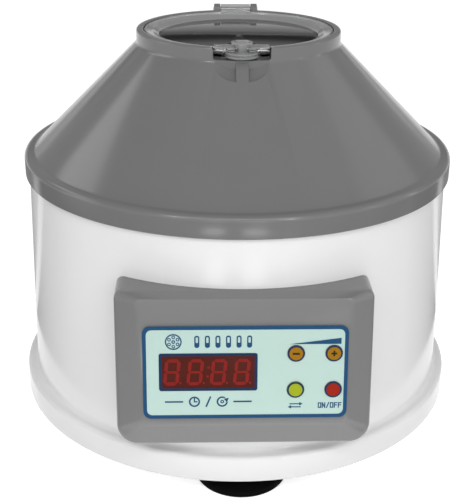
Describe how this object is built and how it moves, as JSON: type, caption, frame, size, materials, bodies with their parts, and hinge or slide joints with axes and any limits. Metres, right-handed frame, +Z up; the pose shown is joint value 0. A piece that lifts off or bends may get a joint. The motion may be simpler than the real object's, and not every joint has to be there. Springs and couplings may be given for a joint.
{
  "type": "laboratory centrifuge",
  "caption": "Bench centrifuge: white drum on suction feet, grey cone cover with hinged clear lid and turn latch, tilted keypad housing, angle rotor in a bowl.",
  "frame": {"origin": "on the table under the middle of the whole outline", "axes": "+Z up, front with the control housing towards -Y, +X to the right as seen from the front"},
  "size_m": [0.27, 0.2796, 0.238],
  "materials": {
    "white_shell": "glossy white moulded plastic",
    "grey_cover": "glossy mid-grey moulded plastic",
    "plated_steel": "zinc-plated sheet",
    "foot_rubber": "matte black rubber",
    "seal_rubber": "matte black rubber",
    "fastener_steel": "bright steel",
    "shaft_steel": "ground steel",
    "clear_lid": "polished smoke-clear plastic",
    "clear_knob": "polished clear plastic",
    "bowl_aluminium": "spun satin",
    "rotor_plastic": "moulded black",
    "nut_aluminium": "turned satin",
    "sleeve_steel": "drawn steel",
    "motor_steel": "painted steel can",
    "bell_aluminium": "die cast",
    "core_steel": "stacked laminations",
    "fan_plastic": "moulded black",
    "keypad_film": "printed film with a dark border",
    "display_film": "dark red tinted film",
    "module_plastic": "dark grey display block",
    "key_amber": "amber key",
    "key_green": "yellow-green key",
    "key_red": "red key",
    "board_laminate": "green circuit board",
    "inlet_plastic": "moulded black",
    "capacitor_case": "dark blue case"
  },
  "bodies": {
    "body": {"base_plate": "plated_steel", "chamber_bowl": "bowl_aluminium", "chamber_gasket": "seal_rubber", "control_board": "board_laminate", "control_housing": "grey_cover", "cover_screw_1": "fastener_steel", "cover_screw_2": "fastener_steel", "cover_screw_3": "fastener_steel", "display_module": "module_plastic", "display_window": "display_film", "field_core": "core_steel", "foot_bolt_front": "fastener_steel", "foot_bolt_left": "fastener_steel", "foot_bolt_right": "fastener_steel", "foot_front": "foot_rubber", "foot_left": "foot_rubber", "foot_right": "foot_rubber", "hinge_pin": "fastener_steel", "housing_screw_left": "fastener_steel", "housing_screw_right": "fastener_steel", "keypad_overlay": "keypad_film", "lower_bearing": "fastener_steel", "lower_end_bell": "bell_aluminium", "main_shell": "white_shell", "motor_can": "motor_steel", "motor_plate": "plated_steel", "power_board": "board_laminate", "power_inlet": "inlet_plastic", "rubber_mount_1": "seal_rubber", "rubber_mount_2": "seal_rubber", "rubber_mount_3": "seal_rubber", "run_capacitor": "capacitor_case", "shaft_boot": "seal_rubber", "switch_minus": "fan_plastic", "switch_plus": "fan_plastic", "switch_power": "fan_plastic", "switch_select": "fan_plastic", "top_cover": "grey_cover", "upper_bearing": "fastener_steel", "upper_end_bell": "bell_aluminium"},
    "lid": {"lid": "clear_lid"},
    "latch": {"latch_knob": "clear_knob", "latch_disc": "clear_knob", "latch_cam": "fastener_steel"},
    "rotor": {"motor_shaft": "shaft_steel", "armature_core": "core_steel", "cooling_fan": "fan_plastic", "rotor_head": "rotor_plastic", "rotor_nut": "nut_aluminium", "tube_sleeve_1": "sleeve_steel", "tube_sleeve_2": "sleeve_steel", "tube_sleeve_3": "sleeve_steel", "tube_sleeve_4": "sleeve_steel", "tube_sleeve_5": "sleeve_steel", "tube_sleeve_6": "sleeve_steel"},
    "minus_button": {"key_minus": "key_amber"},
    "plus_button": {"key_plus": "key_amber"},
    "select_button": {"key_select": "key_green"},
    "power_button": {"key_power": "key_red"},
    "fuse_tray": {"fuse_drawer": "inlet_plastic"}
  },
  "joints": [
    {"name": "lid_hinge", "type": "hinge", "parent": "body", "child": "lid", "pos_m": [0, 0.06764, 0.2344], "axis": [-1, 0, 0], "range_deg": [0, 100]},
    {"name": "latch_turn", "type": "hinge", "parent": "lid", "child": "latch", "pos_m": [0, -0.04886, 0.235], "axis": [0, 0, 1], "range_deg": [0, 90]},
    {"name": "rotor_spin", "type": "hinge", "parent": "body", "child": "rotor", "pos_m": [0, 0.00483, 0.206], "axis": [0, 0, 1], "continuous": true},
    {"name": "key_minus_press", "type": "slide", "parent": "body", "child": "minus_button", "axis": [0, 0.9903, -0.1392], "range_m": [0, 0.0005], "stiffness_N_per_m": 400},
    {"name": "key_plus_press", "type": "slide", "parent": "body", "child": "plus_button", "axis": [0, 0.9903, -0.1392], "range_m": [0, 0.0005], "stiffness_N_per_m": 400},
    {"name": "key_select_press", "type": "slide", "parent": "body", "child": "select_button", "axis": [0, 0.9903, -0.1392], "range_m": [0, 0.0005], "stiffness_N_per_m": 400},
    {"name": "key_power_press", "type": "slide", "parent": "body", "child": "power_button", "axis": [0, 0.9903, -0.1392], "range_m": [0, 0.0005], "stiffness_N_per_m": 400},
    {"name": "fuse_drawer_slide", "type": "slide", "parent": "body", "child": "fuse_tray", "axis": [0, 1, 0], "range_m": [0, 0.018]}
  ]
}
